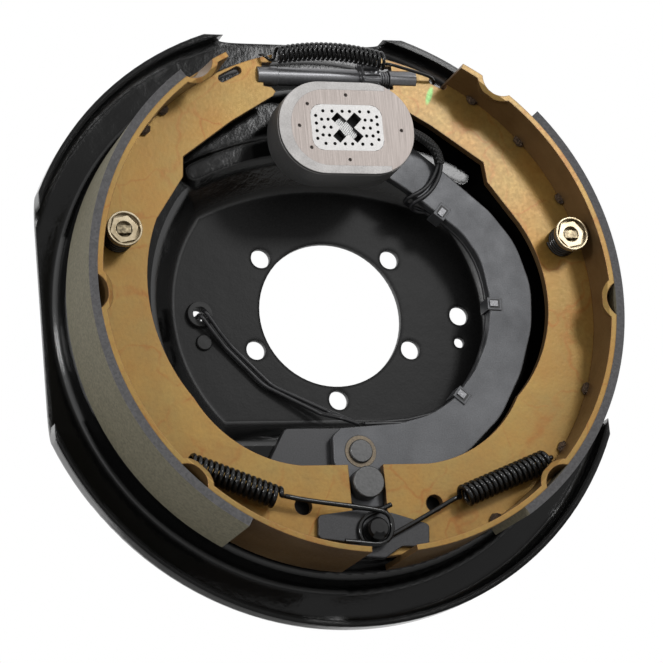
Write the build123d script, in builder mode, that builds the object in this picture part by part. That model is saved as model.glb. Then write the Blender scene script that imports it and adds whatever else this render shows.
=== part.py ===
from build123d import *
from math import atan2, cos, degrees, radians, sin, sqrt, tan
import os

os.makedirs("parts", exist_ok=True)

# Electric drum brake for a trailer axle, left-hand side, in millimetres.
# X runs to the right and Z up, and the drum side faces -Y. The origin is the centre of
# the bore on the mounting face. A depth is measured from that face towards the drum.

# Driving dimensions of the pressed backing plate
plate_thick = 3.5
plate_radius = 175.0
side_flat = 160.5
top_flat = 164.7
bore_radius = 41.3
bolt_hole = 5.55
bolt_places = ((37.8, 32.3), (-37.8, 32.3), (-45.0, -20.2), (0, -48.9), (45.0, -20.2))
lead_hole = 5.5
lead_hole_place = (76.0, -0.5)
drain_hole = 3.0
drain_hole_place = (74.6, -16.2)
floor_radius = 90.5
floor_bottom = 61.5
crown_radius = 162.0
crown_drop = 90.0
floor_corner = 22.0
floor_root = 2.5
rim_drop = 1.3
rim_slope = 68.0
seat_radius = 66.0
seat_step = 0.6
ring_height = 18.5
dish_slope = 44.0
ring_radius = 126.5
ledge_height = 6.5
ledge_inner = 136.5
ledge_outer = 149.5
ledge_pad_rise = 3.4
channel_depth = 9.5
channel_inner = 152.5
lip_height = 2.7
bend = 3.6
boss_radius = 142.0
boss_angle = 24.0

# Driving dimensions of the shoes
lining_radius = 151.6
lining_thick = 4.8
table_thick = 3.0
shoe_width = 50.8
web_thick = 5.0
seat_gap = 0.3
dent_long = 21.0
dent_deep = 4.6
dent_run = 12.0

# Driving dimensions of the actuating arm, its pivot and the anchor
support_rise = 5.7
pad_flare = 30.0
slide_reach = 178.0
slide_half = 26.0
slide_gap = 0.3
arm_thick = 5.5
web_gap = 1.0
pivot_drop = 84.7
pivot_radius = 6.45
pivot_shank = 5.0
pivot_proud = 2.0
bush_radius = 8.75
turn_gap = 0.05
lever_length = 18.7
cam_radius = 8.75
cam_thick = 9.0
anchor_drop = 130.6
anchor_radius = 12.6
anchor_shank = 6.5
anchor_neck = 6.0
keeper_thick = 3.0
keeper_lean = 5.6

# Driving dimensions of the magnet
magnet_rise = 89.8
magnet_long = 77.4
magnet_tall = 52.5
magnet_corner = 25.0
magnet_front = 59.0
magnet_deep = 22.0
stud_radius = 5.9
core_long = 42.0
core_tall = 27.0

# Driving dimensions of the adjuster, the springs and the hold-downs
adjuster_rise = 128.3
tool_slot_place = (24.0, 115.0)
tool_slot_long = 20.0
tool_slot_wide = 8.0
adjuster_radius = 5.1
screw_radius = 4.0
star_radius = 10.0
star_teeth = 16
return_coil = 6.25
spring_wire = 1.3
adjuster_coil = 5.0
adjuster_wire = 0.9
hold_down_place = (128.2, 32.4)
hold_down_pin = 2.3
cup_radius = 9.7
cup_front = 54.0
cup_sheet = 1.2
seat_rear = 2.9
lead_radius = 1.2

# Depths and radii that follow from the stack of pieces
support_top = ring_height + support_rise
arm_rear = support_top + slide_gap
arm_front = arm_rear + arm_thick
web_rear = arm_front + web_gap
web_front = web_rear + web_thick
shoe_rear = ledge_height + ledge_pad_rise + seat_gap
shoe_front = shoe_rear + shoe_width
table_outer = lining_radius - lining_thick
table_inner = table_outer - table_thick
adjuster_depth = web_rear + web_thick / 2
magnet_rear = magnet_front - magnet_deep
lip_inner = plate_radius - plate_thick
keeper_rear = web_front + 0.4

# The half plane of a turned section: its two directions are radius and depth
section = Plane(origin=(0, 0, 0), x_dir=(1, 0, 0), z_dir=(0, 0, -1))


def across(depth):
    """Plane across the brake axis at a depth."""
    return Plane.XZ.offset(depth)


def spot(x, z, depth):
    """Point in space from its place on the brake's face and its depth."""
    return Vector(x, -depth, z)


def polar(radius, angle):
    return (radius * cos(radians(angle)), radius * sin(radians(angle)))


def band(inner, outer, first, last):
    """Face between two radii and two angles about the brake axis."""
    with BuildSketch() as made:
        with BuildLine():
            long = CenterArc((0, 0), outer, first, last - first)
            short = CenterArc((0, 0), inner, first, last - first)
            Line(long @ 0, short @ 0)
            Line(long @ 1, short @ 1)
        make_face()
    return made.sketch


def wire(points, bends, radius):
    """Round wire along straight runs joined by arcs."""
    with BuildPart() as made:
        with BuildLine() as route:
            FilletPolyline(*points, radius=bends)
        with BuildSketch(Plane(origin=route.line @ 0, z_dir=route.line % 0)):
            Circle(radius)
        sweep(path=route.line)
    return made.part


def coil(start, end, radius, thick, turns, last_radius=None):
    """Close-wound coil along a straight axis, with a ridge for each turn of its wire."""
    axis = end - start
    pitch = axis.length / turns
    last = radius if last_radius is None else last_radius
    points = [(0, 0), (radius - thick, 0)]
    for turn in range(turns):
        outer = radius + (last - radius) * (turn + 0.5) / turns
        after = radius + (last - radius) * (turn + 1) / turns
        points.append((outer, (turn + 0.5) * pitch))
        points.append((after - thick, (turn + 1) * pitch))
    points.append((0, axis.length))
    with BuildPart() as made:
        with BuildSketch(Plane.XZ):
            with BuildLine():
                Polyline(*points, close=True)
            make_face()
        revolve(axis=Axis.Z)
    return Plane(origin=start, z_dir=axis).location * made.part


# Backing plate: one steel pressing. A recessed floor bolts to the axle flange, a raised
# ring carries the arm and the anchor, a ledge carries the shoes, and a channel with a
# turned-up lip runs round the drum's rim.
dish_back = plate_thick * (1 - sin(radians(dish_slope))) / cos(radians(dish_slope))


def floor_outline(depth, grow):
    """Outline of the recessed floor, grown by an amount."""
    with BuildSketch(across(depth)) as made:
        Circle(floor_radius)
        with Locations((0, -crown_drop)):
            Circle(crown_radius, mode=Mode.INTERSECT)
        with Locations((0, -floor_bottom)):
            Rectangle(4 * floor_radius, 4 * floor_radius, align=(Align.CENTER, Align.MIN), mode=Mode.INTERSECT)
        corners = made.vertices().sort_by(Axis.Z)
        fillet(corners[2:4], radius=floor_corner)
        fillet(corners[0:2], radius=floor_corner / 4)
        if grow > 0:
            offset(amount=grow)
    return made.sketch


floor_back = floor_outline(0, dish_back)
floor_face = floor_outline(plate_thick, 0)
# Hollow of the dish: its wall opens wider close under the ring, so the rim has no sharp edge
wall_run = (ring_height - rim_drop - plate_thick) * tan(radians(dish_slope))
rim_face = floor_outline(ring_height - 2 * rim_drop, wall_run - rim_drop * tan(radians(rim_slope)))
with BuildPart() as dish_wall:
    extrude(floor_face, amount=ring_height - plate_thick, dir=(0, -1, 0), taper=-dish_slope)
    fillet(dish_wall.faces().sort_by(Axis.Y)[-1].edges(), radius=floor_root)
with BuildPart() as dish_rim:
    extrude(rim_face, amount=2 * rim_drop, dir=(0, -1, 0), taper=-rim_slope)

with BuildPart() as backing_plate:
    with BuildSketch(section):
        with BuildLine():
            FilletPolyline(
                (0, ring_height),
                (ring_radius, ring_height),
                (ledge_inner, ledge_height),
                (ledge_outer, ledge_height),
                (channel_inner, -channel_depth),
                (lip_inner, -channel_depth),
                (lip_inner, lip_height),
                radius=bend,
            )
            offset(amount=plate_thick, side=Side.RIGHT)
        make_face()
    revolve(axis=Axis.Y)
    # Raised seat at the bottom for the anchor bracket, hollow behind like the rest
    with BuildSketch(across(ledge_height - plate_thick)):
        add(band(ring_radius - 8, boss_radius, 270 - boss_angle, 270 + boss_angle))
    extrude(amount=ring_height - ledge_height + plate_thick)
    with BuildSketch(across(-channel_depth)):
        add(band(ring_radius - 9, boss_radius - 4, 270 - boss_angle + 1.5, 270 + boss_angle - 1.5))
    extrude(amount=channel_depth + ring_height - plate_thick, mode=Mode.SUBTRACT)
    # Recessed floor with sloping walls
    extrude(floor_back, amount=ring_height, dir=(0, -1, 0), taper=-dish_slope)
    add(dish_wall.part, mode=Mode.SUBTRACT)
    add(dish_rim.part, mode=Mode.SUBTRACT)
    # Mounting seat: the rear of the floor steps back outside the axle flange
    with BuildSketch(across(-1)):
        Circle(ledge_inner)
        Circle(seat_radius, mode=Mode.SUBTRACT)
    extrude(amount=1 + seat_step, mode=Mode.SUBTRACT)
    # Raised ridge that the end of the arm slides on
    with BuildSketch(across(ring_height - 1)):
        with BuildLine() as slide_line:
            CenterArc((0, -pivot_drop), slide_reach, 90 - slide_half, 2 * slide_half)
        SlotArc(slide_line.edge(), height=9 + 2 * (support_rise + 1) * tan(radians(pad_flare)))
    extrude(amount=support_rise + 1, taper=pad_flare)
    with BuildSketch(across(ring_height - plate_thick - 0.5)):
        with BuildLine() as hollow_line:
            CenterArc((0, -pivot_drop), slide_reach, 90 - slide_half, 2 * slide_half)
        SlotArc(hollow_line.edge(), height=4.5 + 2 * (support_rise + 0.5) * tan(radians(pad_flare)))
    extrude(amount=support_rise + 0.5, taper=pad_flare, mode=Mode.SUBTRACT)
    # Pads under the edge of each shoe, and flat seats round the hold-down pins
    for angle in (124, 181.7, 225.3, 52.4, -3, -47.2):
        with BuildSketch(across(ledge_height - 1)):
            add(band(ledge_inner + 2.5, ledge_outer - 0.5, angle - 4.2, angle + 4.2))
        extrude(amount=ledge_pad_rise + 1, taper=12)
    with BuildSketch(across(seat_rear)):
        with Locations(hold_down_place, (-hold_down_place[0], hold_down_place[1])):
            Circle(7.5)
    extrude(amount=12.5 - seat_rear)
    # Flats on both sides and at the top
    with BuildSketch(across(-channel_depth - plate_thick - 1)):
        Circle(plate_radius + 4)
        with Locations((0, (top_flat - plate_radius - 9) / 2)):
            Rectangle(2 * side_flat, top_flat + plate_radius + 9, mode=Mode.SUBTRACT)
    extrude(amount=60, mode=Mode.SUBTRACT)
    # Bore, bolt holes, lead and drain holes, pins, and the adjusting slot
    with BuildSketch(across(-channel_depth)):
        Circle(bore_radius)
        with Locations(*bolt_places):
            Circle(bolt_hole)
        with Locations(lead_hole_place, (-lead_hole_place[0], lead_hole_place[1])):
            Circle(lead_hole)
        with Locations(drain_hole_place, (-drain_hole_place[0], drain_hole_place[1])):
            Circle(drain_hole)
        with Locations((0, -pivot_drop)):
            Circle(pivot_shank + turn_gap)
        with Locations((0, -anchor_drop)):
            Circle(anchor_shank + turn_gap)
        with Locations(hold_down_place, (-hold_down_place[0], hold_down_place[1])):
            Circle(hold_down_pin + turn_gap)
        with Locations(tool_slot_place):
            SlotOverall(tool_slot_long, tool_slot_wide)
    extrude(amount=60, mode=Mode.SUBTRACT)
backing_plate.part.label = "backing_plate"
export_step(backing_plate.part, "parts/backing_plate.step")

# Plug in the adjusting slot: moulded rubber, with a flange on the drum side
with BuildPart() as slot_plug:
    with BuildSketch(across(ring_height - plate_thick - 1.5)):
        with Locations(tool_slot_place):
            SlotOverall(tool_slot_long - 2 * turn_gap, tool_slot_wide - 2 * turn_gap)
    extrude(amount=plate_thick + 1.5)
    with BuildSketch(across(ring_height)):
        with Locations(tool_slot_place):
            SlotOverall(tool_slot_long + 4, tool_slot_wide + 4)
    extrude(amount=1.5)
slot_plug.part.label = "adjusting_slot_plug"
export_step(slot_plug.part, "parts/adjusting_slot_plug.step")

# Grommet round the leads: turned rubber, clipped into the left lead hole
grommet_bore = 4.1
with BuildPart() as lead_grommet:
    with BuildSketch(section):
        with BuildLine():
            Polyline(
                (grommet_bore, -2.6),
                (7.2, -2.6),
                (7.6, seat_step),
                (lead_hole - turn_gap, seat_step),
                (lead_hole - turn_gap, plate_thick),
                (7.6, plate_thick),
                (7.0, 6.4),
                (grommet_bore, 6.4),
                close=True,
            )
        make_face()
    revolve(axis=Axis.Y)
grommet_place = Location(spot(-lead_hole_place[0], lead_hole_place[1], 0))
placed_grommet = grommet_place * lead_grommet.part
placed_grommet.label = "lead_grommet"
export_step(placed_grommet, "parts/lead_grommet.step")

# Small plug in the left drain hole: turned rubber button
with BuildPart() as drain_plug:
    with BuildSketch(section):
        with BuildLine():
            Polyline(
                (0, -1.4),
                (4.0, -1.4),
                (4.0, seat_step),
                (drain_hole - turn_gap, seat_step),
                (drain_hole - turn_gap, plate_thick),
                (4.6, plate_thick),
                (4.0, 5.2),
                (0, 5.6),
                close=True,
            )
        make_face()
    revolve(axis=Axis.Y)
placed_plug = Location(spot(-drain_hole_place[0], drain_hole_place[1], 0)) * drain_plug.part
placed_plug.label = "drain_plug"
export_step(placed_plug, "parts/drain_plug.step")

# Anchor bracket: flat steel plate welded to the raised seat, carrying post and pivot
with BuildPart() as anchor_bracket:
    with BuildSketch(across(ring_height)):
        with BuildLine():
            FilletPolyline(
                (-39.6, -70),
                (39.6, -70),
                (51, -89.6),
                (56, -112),
                (34, -137),
                (-34, -137),
                (-56, -112),
                (-51, -89.6),
                radius=3,
                close=True,
            )
        make_face()
        with Locations((0, -pivot_drop)):
            Circle(pivot_shank + turn_gap, mode=Mode.SUBTRACT)
        with Locations((0, -anchor_drop)):
            Circle(anchor_shank + turn_gap, mode=Mode.SUBTRACT)
    extrude(amount=support_rise)
    chamfer(anchor_bracket.faces().sort_by(Axis.Y)[0].outer_wire().edges(), length=0.5)
anchor_bracket.part.label = "anchor_bracket"
export_step(anchor_bracket.part, "parts/anchor_bracket.step")

# Anchor post: turned steel, riveted behind, with a wide collar for the webs and a neck
# for the keeper plate and the springs
post_top = 48.5
with BuildPart() as anchor_post:
    with BuildSketch(section):
        with BuildLine():
            Polyline(
                (0, ring_height - plate_thick - 2.5),
                (6.0, ring_height - plate_thick - 2.5),
                (7.2, ring_height - plate_thick),
                (anchor_shank, ring_height - plate_thick),
                (anchor_shank, support_top),
                (anchor_radius, support_top),
                (anchor_radius, keeper_rear - 0.7),
                (anchor_radius - 0.7, keeper_rear),
                (anchor_neck, keeper_rear),
                (anchor_neck, post_top - 2.2),
                (anchor_neck - 1.1, post_top - 0.7),
                (anchor_neck - 3.2, post_top),
                (0, post_top),
                close=True,
            )
        make_face()
    revolve(axis=Axis.Y)
placed_post = Location(spot(0, -anchor_drop, 0)) * anchor_post.part
placed_post.label = "anchor_post"
export_step(placed_post, "parts/anchor_post.step")

# Keeper plate: flat steel stamping on the post, over the ends of both webs
with BuildPart() as keeper_plate:
    with BuildSketch(across(keeper_rear)):
        with Locations(Location((0, -anchor_drop), -keeper_lean)):
            with BuildLine(mode=Mode.PRIVATE) as keeper_line:
                FilletPolyline(
                    (-31.2, 6.3),
                    (-10, 10.9),
                    (10, 10.9),
                    (31.2, 6.3),
                    (31.2, -6.3),
                    (16, -7),
                    (6.5, -14),
                    (-6.5, -14),
                    (-16, -7),
                    (-31.2, -6.3),
                    radius=2.5,
                    close=True,
                )
            add(make_face(keeper_line.edges(), mode=Mode.PRIVATE))
            Circle(anchor_neck + turn_gap, mode=Mode.SUBTRACT)
    extrude(amount=keeper_thick)
    chamfer(keeper_plate.faces().sort_by(Axis.Y)[0].outer_wire().edges(), length=0.4)
keeper_plate.part.label = "keeper_plate"
export_step(keeper_plate.part, "parts/keeper_plate.step")

# Pivot pin of the arm: turned steel, riveted behind the raised ring
with BuildPart() as pivot_pin:
    with BuildSketch(section):
        with BuildLine():
            Polyline(
                (0, ring_height - plate_thick - 3),
                (5.6, ring_height - plate_thick - 3),
                (6.8, ring_height - plate_thick),
                (pivot_shank, ring_height - plate_thick),
                (pivot_shank, support_top),
                (pivot_radius, support_top),
                (pivot_radius, arm_front + pivot_proud - 0.6),
                (pivot_radius - 0.6, arm_front + pivot_proud),
                (0, arm_front + pivot_proud),
                close=True,
            )
        make_face()
    revolve(axis=Axis.Y)
placed_pin = Location(spot(0, -pivot_drop, 0)) * pivot_pin.part
placed_pin.label = "pivot_pin"
export_step(placed_pin, "parts/pivot_pin.step")

# Magnet arm: flat steel stamping, curved round the hub, with a short lever under the
# pivot that carries the cam
arm_outline = (
    (-2, magnet_rise + 14),
    (22, 103.5),
    (39, 97.2),
    (62.9, 77.8),
    (90.5, 52.9),
    (103.8, 34.5),
    (110.6, 9),
    (108.2, -14.5),
    (98.6, -41.3),
    (84, -66),
    (62, -86),
    (36, -98.5),
    (17.5, -103),
    (11.7, -107.5),
    (11.7, -115.5),
    (-7.5, -115.5),
    (-9.5, -103),
    (-15.6, -91.4),
    (-14.9, -76),
    (-10.3, -71.5),
    (24.4, -69.1),
    (42.6, -64.4),
    (57.5, -55.6),
    (71.5, -39.5),
    (81, -21),
    (85.3, 0),
    (82.4, 24),
    (72.5, 40),
    (56, 53.5),
    (42, 65),
    (28, 74.5),
    (14, 76),
    (-2, magnet_rise - 14),
    (-13, magnet_rise - 8),
    (-13, magnet_rise + 8),
)
arm_bends = (8, 30, 25, 40, 30, 45, 45, 45, 40, 40, 40, 30, 12, 2, 4, 6, 8, 12, 4, 3, 35, 40, 40, 40, 45, 40, 35, 35, 30, 20, 12, 20, 6, 5, 5)
with BuildPart() as magnet_arm:
    with BuildSketch(across(arm_rear)):
        with BuildLine():
            FilletPolyline(*arm_outline, radius=arm_bends, close=True)
        make_face()
        with Locations((0, -pivot_drop)):
            Circle(bush_radius + turn_gap, mode=Mode.SUBTRACT)
        with Locations((0, -pivot_drop - lever_length)):
            Circle(5 + turn_gap, mode=Mode.SUBTRACT)
        with Locations((0, magnet_rise)):
            Circle(4.5 + turn_gap, mode=Mode.SUBTRACT)
    extrude(amount=arm_thick)
    chamfer(magnet_arm.faces().sort_by(Axis.Y)[0].outer_wire().edges(), length=0.5)
magnet_arm.part.label = "magnet_arm"
export_step(magnet_arm.part, "parts/magnet_arm.step")

# Bushing pressed into the arm: plain bronze ring
with BuildPart() as arm_bushing:
    with BuildSketch(across(arm_rear)):
        with Locations((0, -pivot_drop)):
            Circle(bush_radius)
            Circle(pivot_radius + turn_gap, mode=Mode.SUBTRACT)
    extrude(amount=arm_thick + 0.3)
arm_bushing.part.label = "arm_bushing"
export_step(arm_bushing.part, "parts/arm_bushing.step")

# Cam: turned disc riveted to the end of the lever, between the ends of the webs
with BuildPart() as cam_stud:
    with BuildSketch(section):
        with BuildLine():
            Polyline(
                (0, arm_rear),
                (5, arm_rear),
                (5, arm_front),
                (cam_radius, arm_front),
                (cam_radius, arm_front + cam_thick - 0.6),
                (cam_radius - 0.6, arm_front + cam_thick),
                (0, arm_front + cam_thick),
                close=True,
            )
        make_face()
    revolve(axis=Axis.Y)
placed_cam = Location(spot(0, -pivot_drop - lever_length, 0)) * cam_stud.part
placed_cam.label = "cam_stud"
export_step(placed_cam, "parts/cam_stud.step")

# Clips of the leads: bent spring steel strips hooked round the inner edge of the arm
clip_places = ((60.2, 50.1, 50.7), (84.7, -1.5, -2.4), (60.3, -52.4, -41.0))
clip_sheet = 0.9
with BuildPart() as wire_clips:
    for clip_x, clip_z, clip_turn in clip_places:
        inward = Vector(cos(radians(clip_turn)), 0, sin(radians(clip_turn)))
        along = Vector(inward.Z, 0, -inward.X)
        with BuildSketch(Plane(origin=Vector(clip_x, 0, clip_z) - along * 3.5, x_dir=inward, z_dir=along)):
            with BuildLine():
                Polyline(
                    (6.5, arm_front),
                    (-0.9, arm_front),
                    (-0.9, support_top - 4.0),
                    (4.6, support_top - 4.0),
                    (4.6, support_top - 4.0 - clip_sheet),
                    (-0.9 - clip_sheet, support_top - 4.0 - clip_sheet),
                    (-0.9 - clip_sheet, arm_front + clip_sheet),
                    (6.5, arm_front + clip_sheet),
                    close=True,
                )
            make_face()
        extrude(amount=7)
wire_clips.part.label = "wire_clips"
export_step(wire_clips.part, "parts/wire_clips.step")

# Magnet stud: turned pin riveted flush into the end of the arm, with a clip across its tip
stud_top = 52.3
with BuildPart() as magnet_stud:
    with BuildSketch(section):
        with BuildLine():
            Polyline(
                (0, arm_rear),
                (4.5, arm_rear),
                (4.5, arm_front),
                (7.5, arm_front),
                (7.5, arm_front + 1.2),
                (stud_radius, arm_front + 1.2),
                (stud_radius, stud_top),
                (0, stud_top),
                close=True,
            )
        make_face()
    revolve(axis=Axis.Y)
placed_stud = Location(spot(0, magnet_rise, 0)) * magnet_stud.part
placed_stud.label = "magnet_stud"
export_step(placed_stud, "parts/magnet_stud.step")

# Clip across the stud's tip: flat spring steel strip lying in one pair of the slots
with BuildPart() as magnet_clip:
    with BuildSketch(across(stud_top)):
        with Locations(Location((0, magnet_rise), -45)):
            SlotOverall(14.0, 4.2)
    extrude(amount=1.3)
magnet_clip.part.label = "magnet_clip"
export_step(magnet_clip.part, "parts/magnet_clip.step")

# Spring behind the magnet: a conical coil round the stud
magnet_spring = coil(spot(0, magnet_rise, arm_front), spot(0, magnet_rise, magnet_rear), 15.5, 1.6, 3, 12.5)
with BuildPart() as hollow:
    with BuildSketch(across(arm_front)):
        with Locations((0, magnet_rise)):
            Circle(9.5)
    extrude(amount=magnet_rear - arm_front)
magnet_spring = magnet_spring - hollow.part
magnet_spring.label = "magnet_spring"
export_step(magnet_spring, "parts/magnet_spring.step")

# Magnet case: cast shell with a thick rim, open towards the drum
face_depth = 13.0
rim_end = 23.5
rim_side = 6.6
rim_wall = 4.2


def magnet_outline(trim):
    """Rounded outline of the magnet, trimmed by an amount."""
    with BuildSketch() as made:
        with Locations((0, magnet_rise)):
            RectangleRounded(magnet_long - 2 * trim, magnet_tall - 2 * trim, magnet_corner - trim)
    return made.sketch


def face_outline(trim):
    """Outline of the friction face: inside the rim, and out to the edge at the right."""
    with BuildSketch() as right_end:
        add(magnet_outline(trim))
        with Locations((rim_end + magnet_long, magnet_rise)):
            Rectangle(2 * (magnet_long - trim), magnet_tall + 2, mode=Mode.INTERSECT)
    with BuildSketch() as made:
        add(magnet_outline(rim_wall + trim))
        with Locations((-magnet_long / 2, magnet_rise)):
            Rectangle(2 * (rim_side + trim), magnet_tall, mode=Mode.SUBTRACT)
        add(right_end.sketch)
    return made.sketch


with BuildPart() as magnet_case:
    with BuildSketch(across(magnet_rear)):
        add(magnet_outline(0))
    extrude(amount=magnet_deep)
    chamfer(magnet_case.faces().sort_by(Axis.Y)[-1].outer_wire().edges(), length=2)
    with BuildSketch(across(magnet_front - face_depth)):
        add(face_outline(0))
    extrude(amount=face_depth + 1, mode=Mode.SUBTRACT)
    with BuildSketch(across(magnet_rear - 1)):
        with Locations((0, magnet_rise)):
            Circle(stud_radius + 0.08)
    extrude(amount=magnet_deep, mode=Mode.SUBTRACT)
magnet_case.part.label = "magnet_case"
export_step(magnet_case.part, "parts/magnet_case.step")

# Friction face of the magnet: hard block set in the case, with an opening for the core
with BuildPart() as magnet_face:
    with BuildSketch(across(magnet_front - face_depth)):
        add(face_outline(turn_gap))
    extrude(amount=face_depth)
    with BuildSketch(across(magnet_front - face_depth)):
        with Locations((0, magnet_rise)):
            RectangleRounded(core_long, core_tall, 4)
    extrude(amount=face_depth, mode=Mode.SUBTRACT)
    with BuildSketch(across(magnet_front - 2.5)):
        with Locations((0.8, 108.7), (-21.8, 103.1), (-27.4, 90.5), (-21.6, 78), (-0.2, 71.3), (31.3, 88.8)):
            Circle(1.1)
    extrude(amount=3, mode=Mode.SUBTRACT)
magnet_face.part.label = "magnet_face"
export_step(magnet_face.part, "parts/magnet_face.step")

# Core plate of the magnet: plated steel pole with rows of small holes and a cross recess
with BuildPart() as magnet_core_plate:
    with BuildSketch(across(magnet_front - face_depth)):
        with Locations((0, magnet_rise)):
            RectangleRounded(core_long - 0.1, core_tall - 0.1, 3.95)
            Circle(stud_radius + 0.08, mode=Mode.SUBTRACT)
    extrude(amount=face_depth)
    with BuildSketch(across(stud_top - 0.3)):
        with Locations(Location((0, magnet_rise), 45), Location((0, magnet_rise), -45)):
            SlotOverall(15, 5)
        with Locations((0, magnet_rise)):
            Circle(stud_radius + 0.08)
    extrude(amount=magnet_front, mode=Mode.SUBTRACT)
    with BuildSketch(across(magnet_front - 1.5)):
        with Locations((0, magnet_rise)):
            with GridLocations(7.0, 20.4, 6, 2):
                Circle(1.0)
            with GridLocations(35.0, 6.8, 2, 3):
                Circle(1.0)
    extrude(amount=2, mode=Mode.SUBTRACT)
magnet_core_plate.part.label = "magnet_core_plate"
export_step(magnet_core_plate.part, "parts/magnet_core_plate.step")

# Shoes: each a curved table with a welded web and a bonded lining
post_clear = anchor_radius + seat_gap
web_notch = 38.0
web_end = 10.0
table_ends = {"primary": (-84.0, 61.0), "secondary": (116.8, 266.0)}
lining_ends = {"primary": (-57.6, 42.0), "secondary": (127.6, 239.9)}
dent_places = {"primary": (52.4, -3, -47.2), "secondary": (124, 181.7, 225.3)}
waists = {"primary": 116.9, "secondary": 113.1}
key_places = {"primary": (65.2, 126.1), "secondary": (-56.9, 127.9)}
dent_radius = ((dent_long / 2) ** 2 + dent_deep**2) / (2 * dent_deep)
dent_lean = degrees(atan2(dent_deep, dent_run))

for shoe in ("primary", "secondary"):
    side = 1 if shoe == "primary" else -1
    first, last = table_ends[shoe]

    with BuildPart() as table:
        with BuildSketch(across(shoe_rear)):
            add(band(table_inner, table_outer, first, last))
        extrude(amount=shoe_width)
        with BuildSketch(across(shoe_front - dent_run)):
            add(band(table_inner - dent_deep, table_outer, first, last))
        shell_band = extrude(amount=dent_run, mode=Mode.PRIVATE)
        for angle in dent_places[shoe]:
            reach = table_inner - dent_deep + dent_radius
            middle = polar(reach, angle)
            lean_axis = Vector(-sin(radians(angle)), 0, cos(radians(angle)))
            outward = Vector(cos(radians(angle)), 0, sin(radians(angle)))
            slant = Vector(0, 1, 0) * cos(radians(dent_lean)) + outward * sin(radians(dent_lean))
            frame = Plane(origin=spot(middle[0], middle[1], shoe_front) - slant * 4, x_dir=lean_axis, z_dir=slant)
            bulge = frame.location * Cylinder(dent_radius, 40, align=(Align.CENTER, Align.CENTER, Align.MIN), mode=Mode.PRIVATE)
            bore = frame.location * Cylinder(dent_radius - table_thick, 40, align=(Align.CENTER, Align.CENTER, Align.MIN), mode=Mode.PRIVATE)
            add(bulge & shell_band)
            add(bore & shell_band, mode=Mode.SUBTRACT)
    table.part.label = shoe + "_table"
    export_step(table.part, "parts/" + shoe + "_table.step")

    with BuildPart() as web:
        with BuildSketch(across(web_rear)) as web_face:
            with BuildLine():
                post_low = -anchor_drop - sqrt(post_clear**2 - 8.6**2)
                low_point = (8.6 * side, -sqrt(table_inner**2 - 8.6**2))
                top_point = (31.5 * side, sqrt(table_inner**2 - 31.5**2))
                Polyline(
                    top_point,
                    (32 * side, 135.5),
                    (web_notch * side, 135.5),
                    (web_notch * side, 121.7),
                    (33.5 * side, 121.0),
                    (31.3 * side, 118.5),
                    (33 * side, 116),
                    (58.7 * side, 100.5),
                    (87.5 * side, 79.5),
                    (88.5 * side, 68),
                    (105.2 * side, 43.8),
                )
                ThreePointArc((105.2 * side, 43.8), (waists[shoe] * side, 6), (92.5 * side, -56))
                ThreePointArc((92.5 * side, -56), (68.5 * side, -82.0), (36 * side, -93.4))
                Polyline(
                    (36 * side, -93.4),
                    (web_end * side, -93.4),
                    (web_end * side, -anchor_drop + 6),
                    (8.6 * side, post_low),
                    low_point,
                )
                ThreePointArc(low_point, (table_inner * side, 0), top_point)
            make_face()
            with Locations((0, -anchor_drop)):
                Circle(post_clear, mode=Mode.SUBTRACT)
            with Locations((hold_down_place[0] * side, hold_down_place[1])):
                Circle(6, mode=Mode.SUBTRACT)
            with Locations((37.2 * side, -115.5)):
                Circle(4.9, mode=Mode.SUBTRACT)
            with Locations((104 * side, -92)):
                Circle(3, mode=Mode.SUBTRACT)
            with Locations(Location(key_places[shoe], -26 if side > 0 else 28)):
                SlotOverall(11 if side > 0 else 15, 4.6, mode=Mode.SUBTRACT)
        extrude(amount=web_thick)
    web.part.label = shoe + "_web"
    export_step(web.part, "parts/" + shoe + "_web.step")

    low, high = lining_ends[shoe]
    with BuildPart() as lining:
        with BuildSketch(across(shoe_rear)):
            add(band(table_outer, lining_radius, low, high))
        extrude(amount=shoe_width)
    lining.part.label = shoe + "_lining"
    export_step(lining.part, "parts/" + shoe + "_lining.step")

# Adjuster tube: turned steel, threaded inside at its right end
tube_end = 17.4
with BuildPart() as adjuster_tube:
    with Locations(Location((-29.4, -adjuster_depth, adjuster_rise), (0, 90, 0))):
        Cylinder(adjuster_radius, tube_end + 29.4, align=(Align.CENTER, Align.CENTER, Align.MIN))
    with Locations(Location((tube_end - 26, -adjuster_depth, adjuster_rise), (0, 90, 0))):
        Cylinder(screw_radius + turn_gap, 30, align=(Align.CENTER, Align.CENTER, Align.MIN), mode=Mode.SUBTRACT)
adjuster_tube.part.label = "adjuster_tube"
export_step(adjuster_tube.part, "parts/adjuster_tube.step")

# Adjuster sockets: turned ends with a slot that straddles the edge of a web
fork_gap = web_thick + 2 * seat_gap
with BuildPart() as left_socket:
    with Locations(Location((-41.1, -adjuster_depth, adjuster_rise), (0, 90, 0))):
        Cylinder(adjuster_radius + 0.3, 11.7, align=(Align.CENTER, Align.CENTER, Align.MIN))
    with Locations((-web_notch + seat_gap, -adjuster_depth, adjuster_rise)):
        Box(20, fork_gap, 20, align=(Align.MAX, Align.CENTER, Align.CENTER), mode=Mode.SUBTRACT)
left_socket.part.label = "adjuster_left_socket"
export_step(left_socket.part, "parts/adjuster_left_socket.step")

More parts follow.
